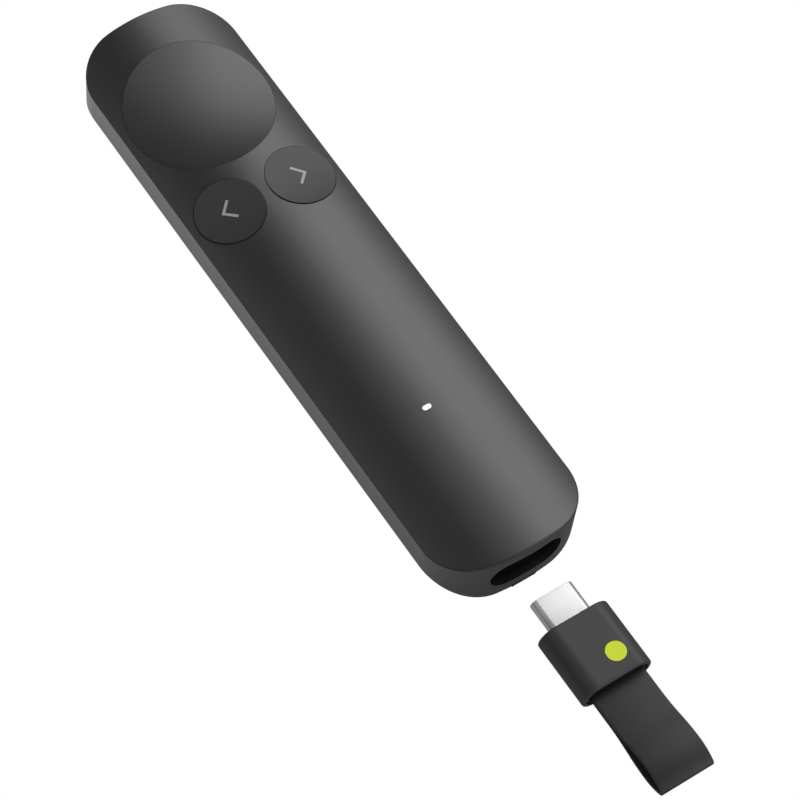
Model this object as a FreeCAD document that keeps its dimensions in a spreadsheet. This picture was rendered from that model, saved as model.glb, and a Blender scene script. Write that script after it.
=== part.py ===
import FreeCAD, Part
import math
import os
import re

import Sketcher

doc = FreeCAD.newDocument("presentation_clicker")
sheet = doc.addObject("Spreadsheet::Sheet", "dims")

# Driving dimensions, in millimetres
# +Y points to the head with the pointer button, -Y to the receiver bay, +Z up from the rest face
DIMENSIONS = {
    # Handset outside
    "body_width": 29.4,
    "body_length": 123.4,
    "total_height": 12.35,
    "corner_radius": 9.7,
    "head_radius": 56.8,
    "tail_radius": 44.6,
    "crown_radius": 40.8,
    "belly_radius": 29.3,
    "belly_sink": 0.25,
    "underside_height": 0.3,
    "edge_round": 0.25,
    "overrun": 1.0,
    # Shell
    "side_wall": 1.0,
    "belly_wall": 1.1,
    "floor_top": 2.0,
    "flange_thick": 0.5,
    "cover_thick": 1.2,
    "cover_gap": 0.05,
    # Rest pad
    "pad_width": 9.0,
    "pad_margin": 1.9,
    "pad_thick": 0.9,
    "pad_tab_width": 4.9,
    # Case screws, one row along the middle
    "screw_margin": 4.3,
    "screw_spacing": 3.48,
    "screw_setback": 25.5,
    "screw_shank": 0.78,
    "screw_fit": 0.02,
    "screw_length": 6.2,
    "pilot_room": 0.5,
    "screw_cap_radius": 1.5,
    "screw_cap_thick": 0.8,
    "boss_radius": 1.9,
    "boss_gap": 0.1,
    "seat_top": 3.0,
    "seat_radius": 2.6,
    "hole_gap": 0.4,
    # Pointer button
    "pointer_margin": 7.73,
    "pointer_rim": 1.23,
    "pointer_gap": 0.05,
    "pointer_dish": 1.15,
    "pointer_tab_width": 6.0,
    "pointer_tab_top": 10.8,
    # Pair of step buttons
    "step_rim": 1.2,
    "step_part": 1.72,
    "step_spacing": 1.71,
    "step_gap": 0.1,
    "step_dish": 0.42,
    "step_proud": 0.13,
    "step_lean": 0.8,
    "step_tab_width": 4.0,
    "step_tab_top": 9.85,
    "tab_reach": 1.1,
    "cap_underside": 8.9,
    "icon_arm": 2.9,
    "icon_stroke": 0.5,
    "icon_tip": 1.5,
    "icon_ahead": 0.3,
    "icon_depth": 0.25,
    # Switches under the buttons
    "button_travel": 0.3,
    "switch_width": 4.5,
    "switch_thick": 1.5,
    "plunger_radius": 1.2,
    "plunger_gap": 0.05,
    "plunger_sink": 0.6,
    "post_radius": 1.6,
    "post_length": 0.3,
    # Main board and what it carries
    "board_base": 5.6,
    "board_thick": 0.8,
    "board_inset": 1.6,
    "board_start": 0.4,
    "board_post_inset": 4.1,
    "board_post_radius": 1.3,
    "board_post_root": 0.6,
    "board_post_setback": 8.5,
    "board_post_spacing": 14.2,
    "radio_width": 5.0,
    "radio_share": 0.62,
    "sensor_width": 3.0,
    "sensor_share": 0.4,
    "charger_width": 3.5,
    "charger_share": 0.2,
    "chip_thick": 0.8,
    "crystal_length": 3.2,
    "crystal_width": 2.5,
    "crystal_spacing": 2.9,
    "aerial_length": 6.0,
    "aerial_width": 1.6,
    "aerial_inset": 7.7,
    "aerial_setback": 10.2,
    # Battery
    "cell_share": 0.476,
    "cell_thick": 3.0,
    "cell_gap_tail": 5.4,
    "cell_gap_head": 4.0,
    "cell_pad_thick": 0.3,
    "strip_width": 2.0,
    "strip_thick": 0.15,
    "strip_spread": 4.0,
    # Status light
    "light_setback": 30.7,
    "light_length": 1.6,
    "light_width": 0.85,
    "light_fit": 0.03,
    "light_collar": 1.0,
    "lamp_length": 1.6,
    "lamp_width": 0.8,
    "lamp_thick": 0.6,
    "lamp_gap": 0.1,
    # Receiver bay and charging port
    "bay_width": 14.2,
    "bay_height": 6.6,
    "bay_middle": 6.22,
    "bay_depth": 13.1,
    "bay_wall": 0.8,
    "bay_back": 0.9,
    "port_width": 8.44,
    "port_height": 2.66,
    "port_wall": 0.25,
    "port_depth": 5.2,
    "port_block": 1.5,
    "tongue_width": 6.69,
    "tongue_thick": 0.7,
    "tongue_length": 4.3,
    "tail_pins": 12,
    "pin_pitch": 0.5,
    "pin_width": 0.25,
    "pin_length": 1.4,
    "pin_thick": 0.15,
    # Receiver, drawn out of its bay
    "receiver_pull": 25.55,
    "housing_width": 13.8,
    "housing_height": 6.2,
    "housing_length": 12.85,
    "housing_wall": 0.8,
    "housing_front": 0.9,
    "housing_round": 0.35,
    "plug_width": 8.25,
    "plug_height": 2.4,
    "plug_reach": 6.15,
    "plug_root": 1.8,
    "plug_wall": 0.25,
    "plug_fit": 0.05,
    "plug_lip": 0.6,
    "plug_pocket_width": 6.9,
    "plug_pocket_height": 1.0,
    "plug_pocket_depth": 4.4,
    "plug_pin_length": 3.6,
    "plug_pin_thick": 0.08,
    "stick_board_width": 10.0,
    "stick_board_thick": 0.8,
    "stick_board_length": 7.0,
    "stick_chip": 3.2,
    "stick_chip_thick": 0.7,
    "stick_crystal": 2.0,
    "stick_crystal_width": 1.6,
    "stick_crystal_x": 3.5,
    "stick_aerial": 3.0,
    "stick_aerial_width": 1.0,
    "insert_fit": 0.05,
    "insert_length": 3.2,
    "insert_recess": 0.25,
    "pocket_width": 10.9,
    "pocket_height": 3.0,
    "pocket_depth": 2.3,
    "anchor_radius": 0.4,
    "anchor_fit": 0.02,
    "anchor_inset": 1.45,
    "dot_radius": 1.8,
    "dot_thick": 0.3,
    "dot_x": 2.1,
    "dot_back": 4.0,
    # Strap loop
    "strap_width": 10.4,
    "strap_thick": 0.65,
    "strap_slit": 0.1,
    "strap_root": 2.0,
    "strap_straight": 5.0,
    "strap_peak": 15.2,
    "strap_reach": 19.6,
    "strap_rise": 2.0,
    "strap_nose": 0.95,
}

# Sizes and places that follow from the driving dimensions
FOLLOWING = {
    "pad_length": "body_length - 2 * pad_margin",
    "pointer_radius": "body_width / 2 - pointer_rim",
    "pointer_y": "body_length / 2 - pointer_margin - pointer_radius",
    "step_radius": "(body_width / 2 - step_rim - step_part / 2) / 2",
    "step_x": "step_part / 2 + step_radius",
    "step_y": "pointer_y - pointer_radius - step_spacing - step_radius",
    "crown_at_step": "total_height - crown_radius + sqrt(crown_radius ^ 2 - step_x ^ 2)",
    "step_slope": "asin(step_x / crown_radius)",
    "step_hollow": "step_radius ^ 2 / (2 * step_dish)",
    "screw_head_y": "body_length / 2 - screw_margin",
    "screw_mid_y": "step_y - step_radius - screw_spacing",
    "screw_tail_y": "screw_setback - body_length / 2",
    "light_y": "light_setback - body_length / 2",
    "chip_row": "screw_mid_y - light_y",
    "radio_y": "light_y + radio_share * chip_row",
    "sensor_y": "light_y + sensor_share * chip_row",
    "charger_y": "light_y + charger_share * chip_row",
    "crystal_x": "radio_width / 2 + crystal_spacing + crystal_length / 2",
    "aerial_x": "body_width / 2 - aerial_inset",
    "aerial_y": "body_length / 2 - aerial_setback",
    "cell_width": "cell_share * body_width",
    "cell_tail_y": "screw_tail_y + cell_gap_tail",
    "cell_length": "screw_mid_y - screw_tail_y - cell_gap_tail - cell_gap_head",
    "cell_base": "floor_top + cell_pad_thick",
    "port_mouth": "bay_depth + bay_back - body_length / 2",
    "board_top": "board_base + board_thick",
    "board_tail_y": "port_mouth + board_start",
    "board_post_x": "body_width / 2 - board_post_inset",
    "board_post_head_y": "pointer_y - board_post_setback",
    "board_post_tail_y": "screw_tail_y + board_post_spacing",
    "lamp_top": "board_top + lamp_thick + lamp_gap",
    "housing_back": "-body_length / 2 - receiver_pull",
    "housing_nose": "housing_back + housing_length",
    "plug_tip": "housing_nose + plug_reach",
    "plug_back": "housing_nose - plug_root",
    "insert_back": "housing_back + insert_recess",
}


def fill_sheet():
    """Write each dimension to its own cell under its own alias."""
    for row, (alias, size) in enumerate(DIMENSIONS.items(), start=1):
        sheet.set(f"A{row}", alias)
        sheet.set(f"B{row}", str(size))
        sheet.setAlias(f"B{row}", alias)
    doc.recompute()


fill_sheet()


def sized(text):
    """Spell an expression on the sheet: bare names become its cells, or what follows from them."""

    def spelled(match):
        word = match.group()
        if word in FOLLOWING:
            return f"({sized(FOLLOWING[word])})"
        return f"dims.{word}" if word in DIMENSIONS else word

    return re.sub(r"[a-z]\w*", spelled, text)


def measure(text):
    """Value of an expression on the sheet."""
    return float(sheet.evalExpression(sized(text)))


def bind(piece, prop, text):
    piece.setExpression(prop, sized(text))


def place(piece, x="0", y="0", z="0"):
    bind(piece, ".Placement.Base.x", x)
    bind(piece, ".Placement.Base.y", y)
    bind(piece, ".Placement.Base.z", z)
    return piece


TURNED = {
    "Z": FreeCAD.Rotation(),
    "X": FreeCAD.Rotation(FreeCAD.Vector(0, 1, 0), 90),
    "Y": FreeCAD.Rotation(FreeCAD.Vector(1, 0, 0), -90),
}


def block(name, x, y, z, along_x, along_y, along_z):
    """Box with its low corner at x, y, z."""
    piece = doc.addObject("Part::Box", name)
    bind(piece, "Length", along_x)
    bind(piece, "Width", along_y)
    bind(piece, "Height", along_z)
    return place(piece, x, y, z)


def rod(name, x, y, z, radius, length, axis="Z"):
    """Cylinder that starts at x, y, z and runs along its axis."""
    piece = doc.addObject("Part::Cylinder", name)
    piece.Placement = FreeCAD.Placement(FreeCAD.Vector(), TURNED[axis])
    bind(piece, "Radius", radius)
    bind(piece, "Height", length)
    return place(piece, x, y, z)


def join(name, *pieces):
    piece = doc.addObject("Part::MultiFuse", name)
    piece.Shapes = list(pieces)
    piece.Refine = True
    return piece


def group(name, *pieces):
    """Separate solids kept as one piece."""
    piece = doc.addObject("Part::Compound", name)
    piece.Links = list(pieces)
    return piece


def shared(name, *pieces):
    piece = doc.addObject("Part::MultiCommon", name)
    piece.Shapes = list(pieces)
    return piece


def minus(name, base, *tools):
    piece = doc.addObject("Part::Cut", name)
    piece.Base = base
    piece.Tool = tools[0] if len(tools) == 1 else join(name + "_tools", *tools)
    piece.Refine = True
    return piece


def origin_plane(body, role):
    return next(feature for feature in body.Origin.OriginFeatures if feature.Role == role)


def new_sketch(body, name, role):
    sketch = body.newObject("Sketcher::SketchObject", name)
    sketch.AttachmentSupport = (origin_plane(body, role), [""])
    sketch.MapMode = "FlatFace"
    return sketch


def hold(sketch, kind, *refs):
    sketch.addConstraint(Sketcher.Constraint(kind, *refs))


def hold_size(sketch, kind, label, text, *refs):
    """Add a sketch dimension and bind it to the sheet."""
    index = sketch.addConstraint(Sketcher.Constraint(kind, *refs, measure(text)))
    sketch.renameConstraint(index, label)
    bind(sketch, f"Constraints.{label}", text)


def raise_pad(body, sketch, length, reverse=False, both_ways=False):
    pad = body.newObject("PartDesign::Pad", body.Name + "_pad")
    pad.Profile = sketch
    pad.Midplane = both_ways
    pad.Reversed = reverse
    bind(pad, "Length", length)
    return pad


def stadium_sketch(body, role, wide, high):
    """Section with two straight sides and two round ends, longest along the sketch's first axis."""
    sketch = new_sketch(body, body.Name + "_section", role)
    radius = measure(high) / 2
    reach = measure(wide) / 2 - radius
    up = FreeCAD.Vector(0, 0, 1)
    corners = [
        FreeCAD.Vector(-reach, radius),
        FreeCAD.Vector(reach, radius),
        FreeCAD.Vector(-reach, -radius),
        FreeCAD.Vector(reach, -radius),
    ]
    sketch.addGeometry(Part.LineSegment(corners[0], corners[1]))
    sketch.addGeometry(Part.LineSegment(corners[2], corners[3]))
    right = Part.Circle(FreeCAD.Vector(reach, 0), up, radius)
    left = Part.Circle(FreeCAD.Vector(-reach, 0), up, radius)
    sketch.addGeometry(Part.ArcOfCircle(right, -math.pi / 2, math.pi / 2))
    sketch.addGeometry(Part.ArcOfCircle(left, math.pi / 2, 3 * math.pi / 2))
    hold(sketch, "Tangent", 0, 2, 2, 2)
    hold(sketch, "Tangent", 1, 2, 2, 1)
    hold(sketch, "Tangent", 0, 1, 3, 1)
    hold(sketch, "Tangent", 1, 1, 3, 2)
    hold(sketch, "Horizontal", 0)
    hold(sketch, "PointOnObject", 2, 3, -1)
    hold(sketch, "Symmetric", 2, 3, 3, 3, -1, 1)
    hold_size(sketch, "Radius", "end_radius", f"({high}) / 2", 2)
    hold_size(sketch, "DistanceX", "half_reach", f"({wide} - ({high})) / 2", -1, 1, 2, 3)
    return sketch


def stadium(name, wide, high, deep, x="0", y="0", z="0", role="XZ_Plane"):
    """Round-ended prism: it runs along +Y from an upright section, or up from a flat one."""
    body = doc.addObject("PartDesign::Body", name)
    sketch = stadium_sketch(body, role, wide, high)
    raise_pad(body, sketch, deep, reverse=role == "XZ_Plane")
    return place(body, x, y, z)


def end_arcs(inset, radius_name, sign):
    """Corner and end arc data of one end of the plan, sign +1 at the head and -1 at the tail."""
    corner = measure(f"corner_radius - ({inset})")
    end = measure(f"{radius_name} - ({inset})")
    corner_x = measure("body_width / 2 - corner_radius")
    end_y = measure(f"body_length / 2 - {radius_name}")
    corner_y = end_y + math.sqrt((end - corner) ** 2 - corner_x ** 2)
    lean = math.atan2(corner_x, corner_y - end_y)
    return corner, end, corner_x, sign * corner_y, sign * end_y, lean


def plan_sketch(body, inset):
    """Plan of the handset, moved in by an inset: straight sides, corner arcs and gently curved ends."""
    sketch = new_sketch(body, body.Name + "_plan", "XY_Plane")
    up = FreeCAD.Vector(0, 0, 1)
    half = measure(f"body_width / 2 - ({inset})")
    head = end_arcs(inset, "head_radius", 1)
    tail = end_arcs(inset, "tail_radius", -1)
    quarter = math.pi / 2

    def arc(x, y, radius, start, stop):
        circle = Part.Circle(FreeCAD.Vector(x, y), up, radius)
        return sketch.addGeometry(Part.ArcOfCircle(circle, start, stop))

    def straight(x, start, stop):
        return sketch.addGeometry(Part.LineSegment(FreeCAD.Vector(x, start), FreeCAD.Vector(x, stop)))

    right = straight(half, tail[3], head[3])
    head_right = arc(head[2], head[3], head[0], 0, quarter - head[5])
    head_end = arc(0, head[4], head[1], quarter - head[5], quarter + head[5])
    head_left = arc(-head[2], head[3], head[0], quarter + head[5], math.pi)
    left = straight(-half, head[3], tail[3])
    tail_left = arc(-tail[2], tail[3], tail[0], math.pi, 3 * quarter - tail[5])
    tail_end = arc(0, tail[4], tail[1], 3 * quarter - tail[5], 3 * quarter + tail[5])
    tail_right = arc(tail[2], tail[3], tail[0], 3 * quarter + tail[5], 4 * quarter)
    loop = [right, head_right, head_end, head_left, left, tail_left, tail_end, tail_right]
    for first, second in zip(loop, loop[1:] + loop[:1]):
        hold(sketch, "Tangent", first, 2, second, 1)
    hold(sketch, "Vertical", right)
    hold(sketch, "Vertical", left)
    hold(sketch, "Equal", head_right, head_left)
    hold(sketch, "Equal", tail_right, tail_left)
    hold(sketch, "Equal", head_right, tail_right)
    hold(sketch, "PointOnObject", head_end, 3, -2)
    hold(sketch, "PointOnObject", tail_end, 3, -2)
    hold_size(sketch, "Radius", "corner", f"corner_radius - ({inset})", head_right)
    hold_size(sketch, "Radius", "head", f"head_radius - ({inset})", head_end)
    hold_size(sketch, "Radius", "tail", f"tail_radius - ({inset})", tail_end)
    hold_size(sketch, "DistanceY", "head_place", "body_length / 2 - head_radius", -1, 1, head_end, 3)
    hold_size(sketch, "DistanceY", "tail_place", "tail_radius - body_length / 2", -1, 1, tail_end, 3)
    hold_size(sketch, "DistanceX", "half_width", f"body_width / 2 - ({inset})", -1, 1, right, 1)
    hold_size(sketch, "DistanceX", "other_half", f"body_width / 2 - ({inset})", left, 1, -1, 1)
    return sketch


def plan_prism(name, inset, base, top):
    """Upright prism on the handset's plan."""
    body = doc.addObject("PartDesign::Body", name)
    raise_pad(body, plan_sketch(body, inset), f"({top}) - ({base})")
    return place(body, z=base)


def arched_slab(name, apex, radius, above):
    """Long slab on the far side of a shallow arc across the handset.

    Above is +1 for the space over a crown with its top at the apex, and -1 for the space under a belly.
    """
    body = doc.addObject("PartDesign::Body", name)
    sketch = new_sketch(body, name + "_section", "XZ_Plane")
    half = measure("body_width / 2 + side_wall")
    size = measure(radius)
    top = measure(apex)
    centre = top - above * size
    shoulder = centre + above * math.sqrt(size ** 2 - half ** 2)
    far = top + above * measure("total_height")
    circle = Part.Circle(FreeCAD.Vector(0, centre), FreeCAD.Vector(0, 0, 1), size)
    lean = math.asin(half / size)
    middle = above * math.pi / 2
    arc = sketch.addGeometry(Part.ArcOfCircle(circle, middle - lean, middle + lean))
    first = FreeCAD.Vector(above * half, shoulder)
    last = FreeCAD.Vector(-above * half, shoulder)
    first_far = FreeCAD.Vector(above * half, far)
    last_far = FreeCAD.Vector(-above * half, far)
    side = sketch.addGeometry(Part.LineSegment(last, last_far))
    edge = sketch.addGeometry(Part.LineSegment(last_far, first_far))
    other = sketch.addGeometry(Part.LineSegment(first_far, first))
    hold(sketch, "Coincident", arc, 2, side, 1)
    hold(sketch, "Coincident", side, 2, edge, 1)
    hold(sketch, "Coincident", edge, 2, other, 1)
    hold(sketch, "Coincident", other, 2, arc, 1)
    hold(sketch, "Vertical", side)
    hold(sketch, "Vertical", other)
    hold(sketch, "PointOnObject", arc, 3, -2)
    hold(sketch, "Symmetric", edge, 1, edge, 2, -2)
    hold_size(sketch, "Radius", "arc_radius", radius, arc)
    hold_size(sketch, "DistanceY", "arc_place", f"({apex}) - ({above}) * ({radius})", -1, 1, arc, 3)
    hold_size(sketch, "DistanceY", "far_place", f"({apex}) + ({above}) * total_height", -1, 1, edge, 1)
    ends = (edge, 1, edge, 2) if above > 0 else (edge, 2, edge, 1)
    hold_size(sketch, "DistanceX", "full_width", "body_width + 2 * side_wall", *ends)
    raise_pad(body, sketch, "body_length * 1.1", both_ways=True)
    return body


finished = []


def keep(piece, node):
    """Name a finished piece after its node."""
    piece.Label = node
    finished.append(piece)
    return piece


# Handset form, shared by the cover, the lower housing and the pad
SCREWS = {"head": "screw_head_y", "mid": "screw_mid_y", "tail": "screw_tail_y"}

crown_space = arched_slab("crown_space", "total_height", "crown_radius", 1)
seam_space = arched_slab("seam_space", "total_height - flange_thick", "crown_radius - flange_thick", 1)
plate_space = arched_slab("plate_space", "total_height - cover_thick", "crown_radius - cover_thick", 1)
belly_space = arched_slab("belly_space", "-belly_sink", "belly_radius", -1)
floor_space = arched_slab("floor_space", "belly_wall - belly_sink", "belly_radius - belly_wall", -1)

outer_prism = plan_prism("outer_prism", "0", "underside_height", "total_height + overrun")
inner_prism = plan_prism("inner_prism", "side_wall", "floor_top", "total_height + 2 * overrun")
sharp_form = minus("sharp_form", outer_prism, crown_space, belly_space)
cavity = minus("cavity", inner_prism, floor_space)


def rounded_rim(name, base):
    """Round the edge between the crown and the walls all the way along."""
    doc.recompute()
    rims = []
    shoulder = measure("total_height - crown_radius + sqrt(crown_radius ^ 2 - body_width ^ 2 / 4)")
    for index, edge in enumerate(base.Shape.Edges, start=1):
        if edge.BoundBox.ZMin > shoulder - 0.01 and edge.BoundBox.YLength > 0.01:
            rims.append((index, measure("edge_round"), measure("edge_round")))
    piece = doc.addObject("Part::Fillet", name)
    piece.Base = base
    piece.Edges = rims
    return piece


form = rounded_rim("form", sharp_form)


def rest_pad():
    """Soft strip let into the underside, with a tab that runs out to the tail wall."""
    strip = stadium(
        "pad_strip", "pad_length", "pad_width", "pad_thick", role="XY_Plane",
    )
    strip.Placement.Rotation = FreeCAD.Rotation(FreeCAD.Vector(0, 0, 1), 90)
    tab = block(
        "pad_tab", "-pad_tab_width / 2", "-body_length / 2 - overrun", "0",
        "pad_tab_width", "body_length / 2 - pad_length / 2 + pad_width", "pad_thick",
    )
    trim = plan_prism("pad_trim", "0", "0", "pad_thick")
    return shared("pad_piece", trim, join("pad_parts", strip, tab))


def screw_column(name, y, radius, base, top):
    return rod(name, "0", y, base, radius, f"({top}) - ({base})")


def lower_housing(pad):
    """Tub with the side walls, the receiver slot, the screw seats and the board posts."""
    seats = []
    holes = []
    for place_name, y in SCREWS.items():
        seats.append(screw_column("seat_" + place_name, y, "seat_radius", "underside_height + overrun",
                                  "seat_top"))
        holes.append(screw_column("head_hole_" + place_name, y, "screw_cap_radius + screw_fit",
                                  "0", "pad_thick + screw_cap_thick"))
        holes.append(screw_column("shank_hole_" + place_name, y, "screw_shank + 3 * screw_fit",
                                  "0", "seat_top + overrun"))
    posts = []
    for y in ("board_post_head_y", "board_post_tail_y"):
        for x in ("board_post_x", "-board_post_x"):
            posts.append(rod("board_post", x, y, "floor_top + board_post_root", "board_post_radius",
                             "board_base - floor_top - board_post_root"))
    slot = stadium("slot_cut", "bay_width", "bay_height", "side_wall + 4 * overrun",
                   y="-body_length / 2 - 2 * overrun", z="bay_middle")
    shell = minus("tub_shell", form, seam_space, cavity)
    whole = join("tub_whole", shell, *seats, *posts)
    return minus("tub_piece", whole, slot, pad, *holes)


def cap_hole(name, x, y, radius):
    return rod(name, x, y, "floor_top", radius, "total_height")


def light_pill(name, length, width, base, top):
    return stadium(name, length, width, f"({top}) - ({base})", y="light_y", z=base, role="XY_Plane")


def top_cover():
    """Crowned cover: a flange over the walls, a plate that drops inside them, and three screw bosses."""
    flange = shared("cover_flange", form, seam_space)
    drop_prism = plan_prism("drop_prism", "side_wall + cover_gap", "floor_top", "total_height + overrun")
    plate = shared("cover_plate", form, plate_space, drop_prism)
    bosses = []
    pilots = []
    for place_name, y in SCREWS.items():
        bosses.append(screw_column("boss_" + place_name, y, "boss_radius",
                                   "seat_top + boss_gap", "total_height - cover_thick / 2"))
        pilots.append(screw_column("pilot_" + place_name, y, "screw_shank + screw_fit", "0",
                                   "pad_thick + screw_cap_thick + screw_length + pilot_room"))
    holes = [
        cap_hole("pointer_hole", "0", "pointer_y", "pointer_radius"),
        cap_hole("next_hole", "step_x", "step_y", "step_radius"),
        cap_hole("back_hole", "-step_x", "step_y", "step_radius"),
        light_pill("light_hole", "light_length + 2 * light_fit", "light_width + 2 * light_fit",
                   "floor_top", "total_height + overrun"),
    ]
    whole = join("cover_whole", flange, plate, *bosses)
    return minus("cover_piece", whole, *holes, *pilots)


def case_screws():
    """Three identical self-tapping screws, heads down, under the rest pad."""
    screws = []
    for place_name, y in SCREWS.items():
        cap = screw_column("screw_cap_" + place_name, y, "screw_cap_radius", "pad_thick",
                           "pad_thick + screw_cap_thick")
        shank = screw_column("screw_shank_" + place_name, y, "screw_shank", "pad_thick + screw_cap_thick",
                             "pad_thick + screw_cap_thick + screw_length")
        slot = block("screw_slot_" + place_name, "-screw_cap_radius", f"{y} - screw_cap_radius / 8",
                     "pad_thick", "2 * screw_cap_radius", "screw_cap_radius / 4", "screw_cap_thick / 2")
        screws.append(minus("screw_" + place_name, join("screw_whole_" + place_name, cap, shank), slot))
    return group("screw_set", *screws)


def pointer_cap():
    """Large round cap with a thumb dish: hollow along the handset, flatter than the crown across it."""
    hollow_rise = "(pointer_radius ^ 2 / (2 * pointer_dish))"
    flatter = "(1 / (1 / crown_radius - 2 * pointer_dish / pointer_radius ^ 2))"
    body = doc.addObject("PartDesign::Body", "dish_space")
    sketch = new_sketch(body, "dish_profile", "XZ_Plane")
    half = measure("pointer_radius + overrun")
    low = measure("total_height - pointer_dish")
    axis_height = low + measure(hollow_rise)
    size = measure(flatter)
    circle = Part.Circle(FreeCAD.Vector(0, low - size), FreeCAD.Vector(0, 0, 1), size)
    lean = math.asin(half / size)
    shoulder = low - size + math.sqrt(size ** 2 - half ** 2)
    points = [
        FreeCAD.Vector(-half, shoulder),
        FreeCAD.Vector(-half, axis_height),
        FreeCAD.Vector(half, axis_height),
        FreeCAD.Vector(half, shoulder),
    ]
    arc = sketch.addGeometry(Part.ArcOfCircle(circle, math.pi / 2 - lean, math.pi / 2 + lean))
    side = sketch.addGeometry(Part.LineSegment(points[0], points[1]))
    edge = sketch.addGeometry(Part.LineSegment(points[1], points[2]))
    other = sketch.addGeometry(Part.LineSegment(points[2], points[3]))
    hold(sketch, "Coincident", arc, 2, side, 1)
    hold(sketch, "Coincident", side, 2, edge, 1)
    hold(sketch, "Coincident", edge, 2, other, 1)
    hold(sketch, "Coincident", other, 2, arc, 1)
    hold(sketch, "Vertical", side)
    hold(sketch, "Vertical", other)
    hold(sketch, "PointOnObject", arc, 3, -2)
    hold(sketch, "Symmetric", edge, 1, edge, 2, -2)
    hold_size(sketch, "Radius", "arc_radius", flatter, arc)
    hold_size(sketch, "DistanceY", "arc_place", f"total_height - pointer_dish - {flatter}", -1, 1, arc, 3)
    hold_size(sketch, "DistanceY", "axis_place", f"total_height - pointer_dish + {hollow_rise}",
              -1, 1, edge, 1)
    hold_size(sketch, "DistanceX", "full_width", "2 * pointer_radius + 2 * overrun", edge, 1, edge, 2)
    doc.recompute()
    turn = body.newObject("PartDesign::Revolution", "dish_turn")
    turn.Profile = sketch
    turn.ReferenceAxis = (sketch, [f"Edge{edge + 1}"])
    turn.Angle = 360
    place(body, y="pointer_y")
    disc = rod("pointer_disc", "0", "pointer_y", "cap_underside", "pointer_radius - pointer_gap",
               "total_height - cap_underside")
    tab = block("pointer_tab", "-pointer_tab_width / 2", "pointer_y - pointer_radius - tab_reach",
                "cap_underside", "pointer_tab_width", "2 * pointer_radius + 2 * tab_reach",
                "pointer_tab_top - cap_underside")
    post = rod("pointer_post", "0", "pointer_y", "cap_underside - post_length", "post_radius",
               "post_length + overrun")
    return minus("pointer_piece", join("pointer_whole", disc, tab, post), body)


def hollow_rod(name, side, extra):
    """Cylinder over a step button, square to the crown there, that leaves the thumb hollow.

    Its axis lies ahead of the button by the lean, so that the cap stands proud towards the tail.
    """
    length = "(6 * step_radius)"
    piece = doc.addObject("Part::Cylinder", name)
    piece.Placement = FreeCAD.Placement(FreeCAD.Vector(), FreeCAD.Rotation(FreeCAD.Vector(0, 1, 0), 90))
    bind(piece, "Radius", f"step_hollow + {extra}")
    bind(piece, "Height", length)
    bind(piece, ".Placement.Rotation.Angle", f"90 deg + ({side}) * step_slope")
    axis_x = f"({side}) * (step_x + step_hollow * sin(step_slope))"
    axis_z = "crown_at_step + step_proud - step_dish + step_hollow * cos(step_slope)"
    x = f"{axis_x} - cos(step_slope) * {length} / 2"
    z = f"{axis_z} + ({side}) * sin(step_slope) * {length} / 2"
    return place(piece, x, "step_y + step_lean", z)


def step_button(word, side):
    """Step cap, its inlaid chevron and the switch plunger below it."""
    x = f"({side}) * step_x"
    disc = rod(word + "_disc", x, "step_y", "cap_underside", "step_radius - step_gap",
               "total_height - cap_underside + overrun")
    tab = block(word + "_tab", f"{x} - step_tab_width / 2", "step_y - step_radius - tab_reach",
                "cap_underside", "step_tab_width", "2 * step_radius + 2 * tab_reach",
                "step_tab_top - cap_underside")
    post = rod(word + "_post", x, "step_y", "cap_underside - post_length", "post_radius",
               "post_length + overrun")
    hollow = hollow_rod(word + "_hollow", side, "0")
    blank = minus(word + "_blank", join(word + "_whole", disc, tab, post), hollow)
    tip_x = f"{x} + ({side}) * icon_tip"
    arms = []
    for along, across in (("icon_arm", "icon_stroke"), ("icon_stroke", "icon_arm")):
        arm = block(word + "_arm", tip_x, "step_y + icon_ahead", "cap_underside + overrun", along, across,
                    "total_height - cap_underside")
        arm.Placement.Rotation = FreeCAD.Rotation(FreeCAD.Vector(0, 0, 1), 45 + 90 * side)
        arms.append(arm)
    chevron = join(word + "_chevron", *arms)
    skin = minus(word + "_skin", hollow_rod(word + "_deep", side, "icon_depth"), hollow)
    icon = shared(word + "_icon_piece", chevron, skin)
    return minus(word + "_cap_piece", blank, icon), icon


def switch(word, x, y):
    """Tactile switch base on the board and the plunger that moves with the cap."""
    base = block(word + "_base", f"{x} - switch_width / 2", f"{y} - switch_width / 2", "board_top",
                 "switch_width", "switch_width", "switch_thick")
    well = rod(word + "_well", x, y, "board_top + switch_thick - plunger_sink - button_travel - plunger_gap",
               "plunger_radius + plunger_gap", "switch_thick")
    plunger = rod(word + "_plunger_piece", x, y, "board_top + switch_thick - plunger_sink", "plunger_radius",
                  "cap_underside - post_length - board_top - switch_thick + plunger_sink")
    keep(minus(word + "_switch_piece", base, well), word + "_switch")
    keep(plunger, word + "_plunger")


def bay_sleeve():
    """Sleeve behind the tail slot: its front follows the tail wall and its back wall carries the port."""
    outer = stadium("sleeve_outer", "bay_width + 2 * bay_wall", "bay_height + 2 * bay_wall",
                    "bay_depth + bay_back + 2 * overrun",
                    y="-body_length / 2 - 2 * overrun", z="bay_middle")
    inner = stadium("sleeve_inner", "bay_width", "bay_height", "bay_depth + 2 * overrun",
                    y="-body_length / 2 - 2 * overrun", z="bay_middle")
    mouth = stadium("sleeve_mouth", "port_width", "port_height", "bay_depth + bay_back + 3 * overrun",
                    y="-body_length / 2 - 2 * overrun", z="bay_middle")
    return minus("sleeve_piece", shared("sleeve_blank", outer, cavity), inner, mouth)


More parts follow.
